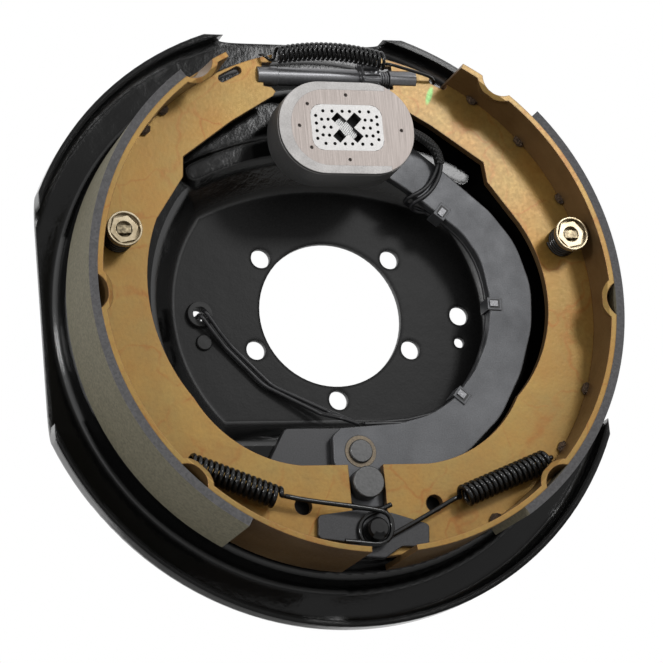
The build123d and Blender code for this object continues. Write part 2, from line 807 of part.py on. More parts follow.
with BuildPart() as right_socket:
    with Locations(Location((36.0, -adjuster_depth, adjuster_rise), (0, 90, 0))):
        Cylinder(adjuster_radius, 15.6, align=(Align.CENTER, Align.CENTER, Align.MIN))
    with Locations((web_notch - seat_gap, -adjuster_depth, adjuster_rise)):
        Box(20, fork_gap, 20, align=(Align.MIN, Align.CENTER, Align.CENTER), mode=Mode.SUBTRACT)
    with Locations(Location((35, -adjuster_depth, adjuster_rise), (0, 90, 0))):
        Cylinder(2.5 + turn_gap, 3.5, align=(Align.CENTER, Align.CENTER, Align.MIN), mode=Mode.SUBTRACT)
right_socket.part.label = "adjuster_right_socket"
export_step(right_socket.part, "parts/adjuster_right_socket.step")

# Star wheel screw: toothed wheel on a threaded rod that runs into the tube
star_left = 19.2
star_right = 28.6
with BuildPart() as star_wheel:
    with BuildSketch(Plane(origin=(star_left, -adjuster_depth, adjuster_rise), x_dir=(0, 1, 0), z_dir=(1, 0, 0))):
        Circle(star_radius - 2.4)
        with PolarLocations(0, star_teeth):
            with Locations((star_radius - 1.6, 0)):
                Rectangle(3.2, 2.0)
    extrude(amount=star_right - star_left)
    with Locations(Location((tube_end - 22, -adjuster_depth, adjuster_rise), (0, 90, 0))):
        Cylinder(screw_radius, 22 + 35.7 - tube_end, align=(Align.CENTER, Align.CENTER, Align.MIN))
    with Locations(Location((35, -adjuster_depth, adjuster_rise), (0, 90, 0))):
        Cylinder(2.5, 2.4, align=(Align.CENTER, Align.CENTER, Align.MIN))
star_wheel.part.label = "star_wheel"
export_step(star_wheel.part, "parts/star_wheel.step")

# Adjuster spring: light coil hooked into both webs, pressed against the star wheel
with BuildPart() as adjuster_spring:
    add(coil(spot(-30, 137.4, 40), spot(1, 138.4, 47.4), adjuster_coil, adjuster_wire, 7))
    add(coil(spot(-1, 138.4, 47.2), spot(28.8, 133.2, 48.2), adjuster_coil, adjuster_wire, 7))
    add(wire([spot(-29, 137.4, 40), spot(-36.5, 134.4, 41.5), spot(-38.5, 139.4, 41), spot(-38.5, 139.8, 36.5)], (2, 2), adjuster_wire))
    add(wire([spot(27.8, 133.2, 48.2), spot(33, 132.6, 47.4), spot(61, 127.6, 40.2), spot(63.6, 127, 33)], (2, 2), adjuster_wire))
adjuster_spring.part.label = "adjuster_spring"
export_step(adjuster_spring.part, "parts/adjuster_spring.step")

# Return springs: close coils between a hole in each web and the neck of the post
left_post = [
    spot(-54.5, -112.4, 44.5),
    spot(-47.5, -109.5, 44.6),
    spot(-44.5, -113.4, 44.6),
    spot(8.4, -120.8, 44.6),
    spot(8.4, -139.2, 44.6),
    spot(-18.7, -136.7, 44.6),
]
right_post = [
    spot(52, -113.4, 44.0),
    spot(47, -114.6, 42.6),
    spot(-8.6, -143.3, 41.1),
    spot(-8.6, -124.0, 41.1),
    spot(10.3, -116.7, 41.1),
]
with BuildPart() as secondary_spring:
    add(coil(spot(-102.3, -93.2, 44.5), spot(-53.7, -112.8, 44.5), return_coil, spring_wire, 9))
    add(wire(left_post, (2, 2.5, 7.6, 8.0), spring_wire))
    add(wire([spot(-101.3, -93.6, 44.5), spot(-105.8, -91.8, 44.5), spot(-104.4, -91.9, 33.0)], (2,), spring_wire))
secondary_spring.part.label = "secondary_return_spring"
export_step(secondary_spring.part, "parts/secondary_return_spring.step")

with BuildPart() as primary_spring:
    add(coil(spot(101.8, -94.5, 44), spot(51.2, -113.7, 44), return_coil, spring_wire, 9))
    add(wire(right_post, (3, 8.2, 7.8), spring_wire))
    add(wire([spot(100.8, -94.9, 44), spot(105.8, -92.6, 44), spot(104.2, -91.9, 33.0)], (2,), spring_wire))
primary_spring.part.label = "primary_return_spring"
export_step(primary_spring.part, "parts/primary_return_spring.step")

# Hold-downs: a pin through each web, a coil spring and a pressed cup under the pin's head
for name, side in (("left", -1), ("right", 1)):
    middle = Location(spot(hold_down_place[0] * side, hold_down_place[1], 0))
    with BuildPart() as pin:
        with BuildSketch(section):
            with BuildLine():
                Polyline(
                    (0, seat_rear - 2),
                    (5, seat_rear - 2),
                    (5, seat_rear),
                    (hold_down_pin, seat_rear),
                    (hold_down_pin, cup_front - 1.6),
                    (0, cup_front - 1.6),
                    close=True,
                )
            make_face()
        revolve(axis=Axis.Y)
        with Locations((0, -cup_front + 3.2, 0)):
            Box(7.6, 2.8, 2 * hold_down_pin - 0.6)
    placed = middle * pin.part
    placed.label = name + "_hold_down_pin"
    export_step(placed, "parts/" + name + "_hold_down_pin.step")

    with BuildPart() as cup:
        with BuildSketch(section):
            with BuildLine():
                Polyline(
                    (hold_down_pin + 0.1, cup_front - 5.8),
                    (5.0, cup_front - 5.8),
                    (5.9, cup_front - cup_sheet),
                    (cup_radius - cup_sheet, cup_front - cup_sheet),
                    (cup_radius - cup_sheet, cup_front - 6),
                    (cup_radius, cup_front - 6),
                    (cup_radius, cup_front - 0.8),
                    (cup_radius - 0.8, cup_front),
                    (5.2, cup_front),
                    (4.4, cup_front - 5.8 + cup_sheet),
                    (hold_down_pin + 0.1, cup_front - 5.8 + cup_sheet),
                    close=True,
                )
            make_face()
        revolve(axis=Axis.Y)
    placed = middle * cup.part
    placed.label = name + "_hold_down_cup"
    export_step(placed, "parts/" + name + "_hold_down_cup.step")

    spring = coil(spot(0, 0, web_front + seat_gap), spot(0, 0, cup_front - cup_sheet - 0.1), 7.75, 1.2, 5)
    with BuildPart() as hollow:
        with BuildSketch(across(web_front)):
            Circle(6.1)
        extrude(amount=20)
    placed = middle * (spring - hollow.part)
    placed.label = name + "_hold_down_spring"
    export_step(placed, "parts/" + name + "_hold_down_spring.step")

# Leads on the plate: two insulated wires from the grommet, along the floor and up to the arm
lead_low = ledge_height - 0.2
with BuildPart() as lead_wires_plate:
    add(
        wire(
            [
                spot(-74.4, 1.0, -2.5),
                spot(-74.2, 0.4, 9.4),
                spot(-66.5, -11.0, 8.0),
                spot(-60.0, -18.8, lead_low),
                spot(-38.9, -41.2, lead_low),
                spot(-9.0, -57.2, lead_low + 4),
                spot(-1.5, -63.5, 18.0),
                spot(3.5, -66.6, 19.9),
            ],
            (2.4, 12, 20, 25, 6, 5),
            lead_radius,
        )
    )
    add(
        wire(
            [
                spot(-77.4, -1.4, -2.5),
                spot(-77.0, -2.0, 9.4),
                spot(-70.0, -11.4, 8.0),
                spot(-63.6, -19.4, lead_low),
                spot(-43.3, -41.3, lead_low),
                spot(-14.0, -58.2, lead_low + 4),
                spot(-5.0, -63.6, 20.0),
                spot(3.5, -67.4, 22.6),
            ],
            (2.4, 12, 20, 25, 6, 5),
            lead_radius,
        )
    )
lead_wires_plate.part.label = "lead_wires_plate"
export_step(lead_wires_plate.part, "parts/lead_wires_plate.step")

# Leads on the arm: the same two wires behind its inner edge, round it and over its front
inner_edge = ((42.6, -64.4), (57.5, -55.6), (71.5, -39.5), (81, -21), (85.3, 0), (82.4, 24), (72.5, 40), (58.5, 51.5))
edge_centre = (24, -4)


def beside_edge(reach, depth):
    """Points behind the arm, a short way in from its inner edge."""
    made = []
    for x, z in inner_edge:
        away = Vector(x - edge_centre[0], 0, z - edge_centre[1]).normalized()
        made.append(spot(x + reach * away.X, z + reach * away.Z, depth))
    return made


first_lead = [spot(6.5, -66.9, 20.0)] + beside_edge(1.6, 21.8)
first_lead += [spot(47.5, 57.0, 22.0), spot(41.2, 60.6, 25.0), spot(41.4, 62.4, 31.3), spot(58.5, 73.0, 31.3), spot(60.6, 82.0, 32.4)]
second_lead = [spot(6.5, -67.6, 22.8)] + beside_edge(4.4, 21.8)
second_lead += [spot(53.5, 57.6, 22.4), spot(46.5, 56.4, 24.6), spot(44.6, 59.4, 31.3), spot(60.8, 70.6, 31.3), spot(63.4, 81.0, 32.4)]
with BuildPart() as lead_wires_arm:
    add(wire(first_lead, (18, 20, 22, 25, 25, 25, 22, 16, 5, 2.4, 2.4, 8), lead_radius))
    add(wire(second_lead, (18, 20, 22, 25, 25, 25, 22, 16, 5, 2.4, 2.4, 8), lead_radius))
lead_wires_arm.part.label = "lead_wires_arm"
export_step(lead_wires_arm.part, "parts/lead_wires_arm.step")

# Braided sleeve over both leads where they enter the magnet
with BuildPart() as lead_sleeve:
    add(
        wire(
            [spot(61.8, 81.0, 33.3), spot(63.4, 88.0, 34.5), spot(52.0, 93.5, 36.5), spot(42.4, 96.6, 39.5)],
            (5, 8),
            2.9,
        )
    )
    add(lead_wires_arm.part, mode=Mode.SUBTRACT)
lead_sleeve.part.label = "lead_sleeve"
export_step(lead_sleeve.part, "parts/lead_sleeve.step")

# Lead tails behind the plate: two free cords that hang from the grommet
tails = {
    "lead_tail_a": [(-73.6, 3.0, 0.6), (-73.0, 16.0, -1.4), (-73.8, 21.0, -36.0), (-70.2, 19.5, -70.0), (-72.6, 23.5, -104.0), (-69.6, 21.5, -134.0)],
    "lead_tail_b": [(-78.0, 3.0, -2.2), (-79.0, 13.0, -5.4), (-80.2, 17.0, -40.0), (-77.6, 20.0, -72.0), (-80.6, 17.6, -105.0), (-78.2, 20.6, -137.0)],
}
for tail, points in tails.items():
    corners = [Vector(*point) for point in points]
    bends = []
    for before, here, after in zip(corners, corners[1:], corners[2:]):
        turn = radians((here - before).get_angle(after - here))
        bends.append(round(0.45 * min((here - before).length, (after - here).length) / tan(turn / 2), 2))
    print(tail, "arc radii", bends)
    with BuildPart() as tail_part:
        add(wire(corners, bends, lead_radius))
    tail_part.part.label = tail
    export_step(tail_part.part, "parts/" + tail + ".step")
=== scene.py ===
import bpy
import math
from mathutils import Matrix, Vector


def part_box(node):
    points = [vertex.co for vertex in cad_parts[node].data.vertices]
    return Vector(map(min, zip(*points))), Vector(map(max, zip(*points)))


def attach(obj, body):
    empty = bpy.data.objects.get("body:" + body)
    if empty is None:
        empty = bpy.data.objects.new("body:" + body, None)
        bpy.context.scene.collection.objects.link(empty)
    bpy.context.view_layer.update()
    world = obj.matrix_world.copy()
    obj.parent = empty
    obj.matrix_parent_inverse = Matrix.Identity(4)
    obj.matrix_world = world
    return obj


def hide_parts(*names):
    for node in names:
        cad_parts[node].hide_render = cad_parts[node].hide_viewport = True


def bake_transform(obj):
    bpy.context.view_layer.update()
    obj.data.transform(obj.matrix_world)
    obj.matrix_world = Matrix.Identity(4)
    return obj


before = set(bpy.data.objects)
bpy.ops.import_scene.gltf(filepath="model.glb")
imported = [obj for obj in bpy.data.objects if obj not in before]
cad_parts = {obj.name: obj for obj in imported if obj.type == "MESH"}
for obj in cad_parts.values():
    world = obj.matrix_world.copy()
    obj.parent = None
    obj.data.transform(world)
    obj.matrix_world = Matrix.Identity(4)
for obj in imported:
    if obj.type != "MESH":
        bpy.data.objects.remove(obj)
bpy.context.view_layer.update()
scene = bpy.context.scene
scene.view_settings.view_transform = "Standard"

# Camera: a long lens below and to the left of the brake, looking up at its open side.
across = (0.9453, -0.3131, -0.0917)
upward = (0.0, -0.2812, 0.9597)
toward = (-0.3262, -0.9072, -0.2658)
lens = bpy.data.cameras.new("camera")
lens.lens = 162.9
lens.sensor_width = 36.0
camera = bpy.data.objects.new("camera", lens)
scene.collection.objects.link(camera)
aim = Matrix((across, upward, toward)).transposed().to_4x4()
camera.matrix_world = Matrix.Translation((-0.5411, -1.5070, -0.4502)) @ aim
scene.camera = camera

# Studio: a white room seen by the camera and by reflections, with a plain soft light on
# the brake itself.


def maths(tree, operation, *values):
    """A maths node on sockets and plain numbers, and its result."""
    node = tree.nodes.new("ShaderNodeMath")
    node.operation = operation
    for socket, value in zip(node.inputs, values):
        if isinstance(value, float):
            socket.default_value = value
        else:
            tree.links.new(value, socket)
    return node.outputs[0]


def spread(tree, value, target, source=(0.0, 1.0)):
    """A socket's values taken from the source range to the target range."""
    node = tree.nodes.new("ShaderNodeMapRange")
    node.inputs["From Min"].default_value, node.inputs["From Max"].default_value = source
    node.inputs["To Min"].default_value, node.inputs["To Max"].default_value = target
    tree.links.new(value, node.inputs["Value"])
    return node.outputs[0]


world = bpy.data.worlds.new("studio")
scene.world = world
world.use_nodes = True
room = world.node_tree
ray = room.nodes.new("ShaderNodeLightPath").outputs
seen = maths(room, "MAXIMUM", ray["Is Camera Ray"], ray["Is Glossy Ray"])
seen = maths(room, "MAXIMUM", seen, ray["Is Transmission Ray"])
room.nodes["Background"].inputs["Color"].default_value = (1.0, 1.0, 1.0, 1.0)
room.links.new(spread(room, seen, (0.2, 1.0)), room.nodes["Background"].inputs["Strength"])

for lamp_name, place, size, power in (
    ("key_lamp", (0.66, -1.45, 0.66), 0.3, 6.4),
    ("fill_lamp", (-1.3, -1.0, 0.25), 0.26, 7.0),
    ("low_lamp", (-0.25, -1.15, -1.0), 0.2, 3.4),
):
    lamp = bpy.data.lights.new(lamp_name, "AREA")
    lamp.size = size
    lamp.energy = power
    holder = bpy.data.objects.new(lamp_name, lamp)
    scene.collection.objects.link(holder)
    aim = Vector(place).to_track_quat("Z", "Y").to_matrix().to_4x4()
    holder.matrix_world = Matrix.Translation(place) @ aim

# Floor: a plain pale sheet well under the brake, which is shown held up.
bpy.ops.object.select_all(action="DESELECT")
bpy.ops.mesh.primitive_plane_add(size=6.0, location=(0, 0, -0.85))
floor = bpy.context.object
floor.name = "floor"
bpy.ops.object.transform_apply(location=True)
floor_paint = bpy.data.materials.new("floor_paint")
floor_paint.use_nodes = True
floor_shader = floor_paint.node_tree.nodes["Principled BSDF"]
floor_shader.inputs["Base Color"].default_value = (0.86, 0.86, 0.85, 1)
floor_shader.inputs["Roughness"].default_value = 0.9
floor.data.materials.append(floor_paint)

# Lead tails: the two insulated wires behind the plate. They leave the grommet and hang free, with
# cut ends for the trailer's own wiring.


def finish(name, colour, rough, metal=0.0):
    """A new material with plain values, and the parts of it that a pattern joins."""
    made = bpy.data.materials.new(name)
    made.use_nodes = True
    shader = made.node_tree.nodes["Principled BSDF"]
    shader.inputs["Base Color"].default_value = (*colour, 1)
    shader.inputs["Roughness"].default_value = rough
    shader.inputs["Metallic"].default_value = metal
    return made, made.node_tree, shader


def group(name, inputs, outputs):
    """A new node group with named sockets, each input with its first value."""
    made = bpy.data.node_groups.new(name, "ShaderNodeTree")
    for label, kind, value in inputs:
        socket = made.interface.new_socket(label, in_out="INPUT", socket_type=kind)
        socket.default_value = value
    for label, kind in outputs:
        made.interface.new_socket(label, in_out="OUTPUT", socket_type=kind)
    return made, made.nodes.new("NodeGroupInput"), made.nodes.new("NodeGroupOutput")


def place_group(tree, made, **values):
    """The group put into a material with its own values, and its outputs."""
    node = tree.nodes.new("ShaderNodeGroup")
    node.node_tree = made
    for label, value in values.items():
        node.inputs[label].default_value = value
    return node.outputs


def object_place(tree):
    """Where a point lies in its object, in metres."""
    return tree.nodes.new("ShaderNodeTexCoord").outputs["Object"]


# Mottle: soft cloudy variation of a finish, from 0 to 1, at a size in patches per metre
mottle, mottle_in, mottle_out = group(
    "mottle",
    (("Scale", "NodeSocketFloat", 60.0), ("Contrast", "NodeSocketFloat", 0.3)),
    (("Value", "NodeSocketFloat"),),
)
cloud = mottle.nodes.new("ShaderNodeTexNoise")
cloud.inputs["Detail"].default_value = 6.0
cloud.inputs["Roughness"].default_value = 0.62
mottle.links.new(object_place(mottle), cloud.inputs["Vector"])
mottle.links.new(mottle_in.outputs["Scale"], cloud.inputs["Scale"])
stretch = mottle.nodes.new("ShaderNodeMapRange")
mottle.links.new(cloud.outputs["Fac"], stretch.inputs["Value"])
for operation, end in (("SUBTRACT", "From Min"), ("ADD", "From Max")):
    limit = maths(mottle, operation, 0.5, mottle_in.outputs["Contrast"])
    mottle.links.new(limit, stretch.inputs[end])
mottle.links.new(stretch.outputs[0], mottle_out.inputs["Value"])


def blend_colour(tree, factor, first, second):
    """Two colours, or sockets of colour, mixed by a socket."""
    node = tree.nodes.new("ShaderNodeMix")
    node.data_type = "RGBA"
    tree.links.new(factor, node.inputs["Factor"])
    for socket, value in ((node.inputs[6], first), (node.inputs[7], second)):
        if isinstance(value, tuple):
            socket.default_value = (*value, 1)
        else:
            tree.links.new(value, socket)
    return node.outputs[2]


def tinge(shader, factor, first, second):
    """The surface takes two colours, or sockets of colour, mixed by a socket."""
    tree = shader.id_data
    tree.links.new(blend_colour(tree, factor, first, second), shader.inputs["Base Color"])


def roughen(shader, factor, low, high):
    """The roughness of the surface runs from low to high with a socket."""
    tree = shader.id_data
    tree.links.new(spread(tree, factor, (low, high)), shader.inputs["Roughness"])


def bump(shader, height, distance, strength=1.0, normal=None):
    """Raises the surface by a socket of height, up to a distance in metres."""
    tree = shader.id_data
    node = tree.nodes.new("ShaderNodeBump")
    node.inputs["Distance"].default_value = distance
    node.inputs["Strength"].default_value = strength
    tree.links.new(height, node.inputs["Height"])
    if normal is not None:
        tree.links.new(normal, node.inputs["Normal"])
    tree.links.new(node.outputs[0], shader.inputs["Normal"])


insulation, tree, shader = finish("black_insulation", (0.012, 0.012, 0.013), 0.38)
tint = place_group(tree, mottle, Scale=220.0, Contrast=0.2)[0]
tinge(shader, tint, (0.008, 0.008, 0.009), (0.022, 0.022, 0.024))
roughen(shader, tint, 0.3, 0.48)
bump(shader, tint, 0.00004)

tail_routes = {
    "lead_tail_a": (
        (-73.6, 3.0, 0.6), (-73.0, 16.0, -1.4), (-73.8, 21.0, -36.0),
        (-70.2, 19.5, -70.0), (-72.6, 23.5, -104.0), (-69.6, 21.5, -134.0),
    ),
    "lead_tail_b": (
        (-78.0, 3.0, -2.2), (-79.0, 13.0, -5.4), (-80.2, 17.0, -40.0),
        (-77.6, 20.0, -72.0), (-80.6, 17.6, -105.0), (-78.2, 20.6, -137.0),
    ),
}
for node, route in tail_routes.items():
    line = bpy.data.curves.new(node + "_wire", "CURVE")
    line.dimensions = "3D"
    line.bevel_depth = 0.0012
    line.bevel_resolution = 6
    line.use_fill_caps = True
    spline = line.splines.new("NURBS")
    spline.points.add(len(route) - 1)
    for point, (x, y, z) in zip(spline.points, route):
        point.co = (x / 1000, y / 1000, z / 1000, 1)
    spline.order_u = 3
    spline.use_endpoint_u = True
    spline.resolution_u = 16
    line.materials.append(insulation)
    tail = bpy.data.objects.new(node + "_wire", line)
    scene.collection.objects.link(tail)
    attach(tail, "root")
    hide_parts(node)

# Backing plate: one pressing of 3.5 mm steel, dipped in gloss black paint. Its recessed
# floor is duller, with a dusty grain, and its bends catch the light.


def dress(names, material):
    """Gives CAD nodes their material."""
    for name in names:
        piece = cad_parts[name]
        if not piece.material_slots:
            piece.data.materials.append(material)
        for slot in piece.material_slots:
            slot.material = material


def normal_depth(tree):
    """The part of the surface's direction that lies along the axle, -1 at the front."""
    direction = tree.nodes.new("ShaderNodeNewGeometry").outputs["Normal"]
    parts = tree.nodes.new("ShaderNodeSeparateXYZ")
    tree.links.new(direction, parts.inputs[0])
    return parts.outputs["Y"]


# Edge: a normal that rounds sharp edges, and a mask of the edges themselves
edge, edge_in, edge_out = group(
    "edge",
    (("Radius", "NodeSocketFloat", 0.0006), ("Sharpness", "NodeSocketFloat", 6.0)),
    (("Mask", "NodeSocketFloat"), ("Normal", "NodeSocketVector")),
)
rounding = edge.nodes.new("ShaderNodeBevel")
rounding.samples = 4
edge.links.new(edge_in.outputs["Radius"], rounding.inputs["Radius"])
flat = edge.nodes.new("ShaderNodeNewGeometry")
along = edge.nodes.new("ShaderNodeVectorMath")
along.operation = "DOT_PRODUCT"
edge.links.new(rounding.outputs[0], along.inputs[0])
edge.links.new(flat.outputs["Normal"], along.inputs[1])
away = maths(edge, "SUBTRACT", 1.0, along.outputs["Value"])
sharpened = maths(edge, "MULTIPLY", away, edge_in.outputs["Sharpness"])
sharpened.node.use_clamp = True
edge.links.new(sharpened, edge_out.inputs["Mask"])
edge.links.new(rounding.outputs[0], edge_out.inputs["Normal"])

plate_paint, tree, shader = finish("gloss_black_paint", (0.006, 0.006, 0.006), 0.2)
rim = place_group(tree, edge, Radius=0.0032)
parts = tree.nodes.new("ShaderNodeSeparateXYZ")
tree.links.new(object_place(tree), parts.inputs[0])
deep = spread(tree, parts.outputs["Y"], (0.0, 1.0), (-0.010, -0.0035))
flat_place = tree.nodes.new("ShaderNodeCombineXYZ")
tree.links.new(parts.outputs["X"], flat_place.inputs[0])
tree.links.new(parts.outputs["Z"], flat_place.inputs[1])
reach = tree.nodes.new("ShaderNodeVectorMath")
reach.operation = "LENGTH"
tree.links.new(flat_place.outputs[0], reach.inputs[0])
inside = spread(tree, reach.outputs["Value"], (0.0, 1.0), (0.112, 0.104))
dull = maths(tree, "MULTIPLY", deep, inside)
sand = place_group(tree, mottle, Scale=900.0, Contrast=0.25)[0]
wave = place_group(tree, mottle, Scale=28.0, Contrast=0.3)[0]
dusty = blend_colour(tree, sand, (0.002, 0.002, 0.002), (0.013, 0.013, 0.013))
clean = blend_colour(tree, wave, (0.003, 0.003, 0.003), (0.006, 0.006, 0.006))
tinge(shader, dull, clean, dusty)
gloss = tree.nodes.new("ShaderNodeMix")
tree.links.new(dull, gloss.inputs["Factor"])
tree.links.new(spread(tree, wave, (0.07, 0.15)), gloss.inputs[2])
gloss.inputs[3].default_value = 0.42
tree.links.new(gloss.outputs[0], shader.inputs["Roughness"])
bends = spread(tree, maths(tree, "ABSOLUTE", normal_depth(tree)), (0.2, 0.75), (0.985, 0.93))
tree.links.new(bends, shader.inputs["Specular IOR Level"])
bump(shader, maths(tree, "MULTIPLY_ADD", sand, 0.05, wave), 0.0004, 0.6, rim["Normal"])
dress(["backing_plate"], plate_paint)

# Rubber parts of the plate: the grommet round the leads, the button in the drain hole and
# the plug of the adjusting slot, all moulded in matt black rubber and pushed in.
rubber_and_shade, tree, shader = finish("black_rubber", (0.016, 0.016, 0.016), 0.6)
tint = place_group(tree, mottle, Scale=400.0, Contrast=0.25)[0]
tinge(shader, tint, (0.010, 0.010, 0.010), (0.026, 0.026, 0.026))
rim = place_group(tree, edge, Radius=0.0006)
bump(shader, tint, 0.00005, 1.0, rim["Normal"])
dress(["lead_grommet", "drain_plug", "adjusting_slot_plug"], rubber_and_shade)

# Magnet arm and lead clips: steel stampings with a grey phosphate finish, slightly oily,
# with paler rubbed edges. The arm turns on the pivot pin, and the clips grip its edge.
phosphate, tree, shader = finish("grey_phosphate", (0.09, 0.092, 0.098), 0.42, 0.55)
grain = place_group(tree, mottle, Scale=1400.0, Contrast=0.28)[0]
cloudy = place_group(tree, mottle, Scale=45.0, Contrast=0.25)[0]
rim = place_group(tree, edge, Radius=0.0009, Sharpness=4.0)
fine = blend_colour(tree, grain, (0.052, 0.053, 0.056), (0.105, 0.107, 0.113))
tinge(shader, rim["Mask"], fine, (0.24, 0.24, 0.25))
roughen(shader, cloudy, 0.34, 0.52)
bump(shader, grain, 0.00004, 0.6, rim["Normal"])
dress(["magnet_arm", "wire_clips"], phosphate)

# Anchor bracket and keeper plate: thicker stampings, blacker than the arm, that hold the
# shoes' ends on the anchor post.
dark_steel, tree, shader = finish("dark_steel", (0.03, 0.03, 0.032), 0.36, 0.6)
grain = place_group(tree, mottle, Scale=1200.0, Contrast=0.28)[0]
rim = place_group(tree, edge, Radius=0.0007, Sharpness=4.0)
fine = blend_colour(tree, grain, (0.022, 0.022, 0.023), (0.05, 0.05, 0.052))
tinge(shader, rim["Mask"], fine, (0.14, 0.14, 0.145))
roughen(shader, grain, 0.3, 0.44)
bump(shader, grain, 0.00003, 0.6, rim["Normal"])
dress(["anchor_bracket", "keeper_plate"], dark_steel)

# Adjuster: a tube, two sockets and a star wheel of plain grey steel, which stand between
# the webs of the two shoes.
tube_steel, tree, shader = finish("adjuster_steel", (0.08, 0.08, 0.085), 0.34, 0.7)
grain = place_group(tree, mottle, Scale=1200.0, Contrast=0.28)[0]
rim = place_group(tree, edge, Radius=0.0006, Sharpness=4.0)
fine = blend_colour(tree, grain, (0.15, 0.15, 0.157), (0.27, 0.27, 0.28))
tinge(shader, rim["Mask"], fine, (0.36, 0.36, 0.365))
roughen(shader, grain, 0.26, 0.40)
bump(shader, grain, 0.00003, 0.6, rim["Normal"])
dress(["adjuster_tube", "adjuster_left_socket", "adjuster_right_socket", "star_wheel"], tube_steel)

# Clip tongues: each lead clip has a thin black sheet of painted shadow for the gap round it, with
# a tongue of brushed steel that stands up out of it, where the clip grips the inner edge of the
# arm.


def pick(pieces):
    """Selects pieces, the first one active."""
    bpy.ops.object.select_all(action="DESELECT")
    for piece in pieces:
        piece.select_set(True)
    bpy.context.view_layer.objects.active = pieces[0]


def plate_of(name, outlines, low, high, material, bevel=0.0):
    """A flat piece from closed outlines of x and z, between two depths, in millimetres."""
    line = bpy.data.curves.new(name, "CURVE")
    line.dimensions = "2D"
    line.fill_mode = "BOTH"
    line.extrude = (high - low) / 2000
    line.bevel_depth = bevel / 1000
    line.bevel_resolution = 2
    for outline in outlines:
        spline = line.splines.new("POLY")
        spline.points.add(len(outline) - 1)
        for point, (x, z) in zip(spline.points, outline):
            point.co = (x / 1000, z / 1000, 0, 1)
        spline.use_cyclic_u = True
    line.materials.append(material)
    piece = bpy.data.objects.new(name, line)
    scene.collection.objects.link(piece)
    piece.rotation_euler = (math.pi / 2, 0, 0)
    piece.location = (0, -(low + high) / 2000, 0)
    pick([piece])
    bpy.ops.object.convert(target="MESH")
    bpy.ops.object.transform_apply(location=True, rotation=True, scale=True)
    bpy.ops.object.shade_smooth_by_angle(angle=math.radians(35))
    return piece


def round_box(x, z, long, tall, corner, steps=14):
    """Outline of a rounded rectangle about a centre."""
    made = []
    for sx, sz, first in ((1, 1, 0), (-1, 1, 90), (-1, -1, 180), (1, -1, 270)):
        for step in range(steps + 1):
            angle = math.radians(first + 90 * step / steps)
            made.append((x + sx * (long / 2 - corner) + corner * math.cos(angle),
                         z + sz * (tall / 2 - corner) + corner * math.sin(angle)))
    return made


def ring_of(x, z, radius, steps=20):
    """Outline of a circle about a centre."""
    angles = [2 * math.pi * k / steps for k in range(steps)]
    return [(x + radius * math.cos(angle), z + radius * math.sin(angle)) for angle in angles]


def turn_outline(outline, degrees, x, z):
    """An outline about zero, turned and moved to its centre."""
    c, s = math.cos(math.radians(degrees)), math.sin(math.radians(degrees))
    return [(x + u * c - v * s, z + u * s + v * c) for u, v in outline]


# Slot shadow: a near-black for the thin sheet round each tongue, painted shadow of the gap
slot_shadow, tree, shader = finish("slot_shade", (0.012, 0.012, 0.012), 0.5)
tint = place_group(tree, mottle, Scale=700.0, Contrast=0.25)[0]
tinge(shader, tint, (0.006, 0.006, 0.006), (0.016, 0.016, 0.016))
tongue_steel, tree, shader = finish("tongue_steel", (0.2, 0.2, 0.2), 0.34, 0.7)
grain = place_group(tree, mottle, Scale=1500.0, Contrast=0.25)[0]
tinge(shader, grain, (0.11, 0.11, 0.115), (0.30, 0.30, 0.31))
bump(shader, grain, 0.0001)
clip_top = -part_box("wire_clips")[0][1] * 1000
clip_places = ((60.2, 50.1, 50.7), (84.7, -1.5, -2.4), (60.3, -52.4, -41.0))
clip_parts = ((5.6, 5.2, 2.4, 0.02, 0.1, slot_shadow), (4.6, 3.2, 1.6, 0.1, 0.75, tongue_steel))
for number, (x, z, degrees) in enumerate(clip_places):
    for part, (long, wide, shift, low, high, paint) in enumerate(clip_parts):
        near, far, half = shift - long / 2, shift + long / 2, wide / 2
        corners = ((near, -half), (far, -half), (far, half), (near, half))
        outline = turn_outline(corners, degrees, x, z)
        name = "clip_%d_part_%d" % (number, part)
        tongue = plate_of(name, [outline], clip_top + low, clip_top + high, paint)
        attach(tongue, "arm")

# Pivot pin and cam: turned steel, lightly oiled. The pin is riveted in the bracket and the
# cam in the arm.
bright_steel, tree, shader = finish("bright_steel", (0.07, 0.07, 0.07), 0.38, 0.6)
grain = place_group(tree, mottle, Scale=700.0, Contrast=0.25)[0]
rim = place_group(tree, edge, Radius=0.0006, Sharpness=5.0)
fine = blend_colour(tree, grain, (0.055, 0.055, 0.055), (0.10, 0.10, 0.10))
tinge(shader, rim["Mask"], fine, (0.3, 0.3, 0.3))
roughen(shader, grain, 0.28, 0.42)
bump(shader, grain, 0.00003, 0.7, rim["Normal"])
dress(["pivot_pin", "cam_stud"], bright_steel)

# Arm bushing: a ring of sintered bronze pressed into the arm, which turns on the pivot pin.
bronze, tree, shader = finish("sintered_bronze", (0.14, 0.11, 0.08), 0.45, 0.8)
grain = place_group(tree, mottle, Scale=1500.0, Contrast=0.25)[0]
tinge(shader, grain, (0.07, 0.06, 0.05), (0.2, 0.16, 0.11))
bump(shader, grain, 0.00003)
dress(["arm_bushing"], bronze)

# Magnet case: a casting with a bright machined rim, dull on its sides. The rim is thick at
# the left and runs out at the right, where the block shows to the edge.
cast, tree, shader = finish("cast_aluminium", (0.42, 0.41, 0.4), 0.4, 0.35)
grain = place_group(tree, mottle, Scale=1600.0, Contrast=0.3)[0]
cloudy = place_group(tree, mottle, Scale=90.0, Contrast=0.25)[0]
front = spread(tree, normal_depth(tree), (0.0, 1.0), (-0.35, -0.8))
skin = blend_colour(tree, grain, (0.08, 0.08, 0.08), (0.16, 0.16, 0.16))
machined = blend_colour(tree, grain, (0.31, 0.295, 0.285), (0.50, 0.485, 0.475))
tinge(shader, front, skin, machined)
roughen(shader, cloudy, 0.38, 0.52)
bump(shader, grain, 0.00005, 0.8)

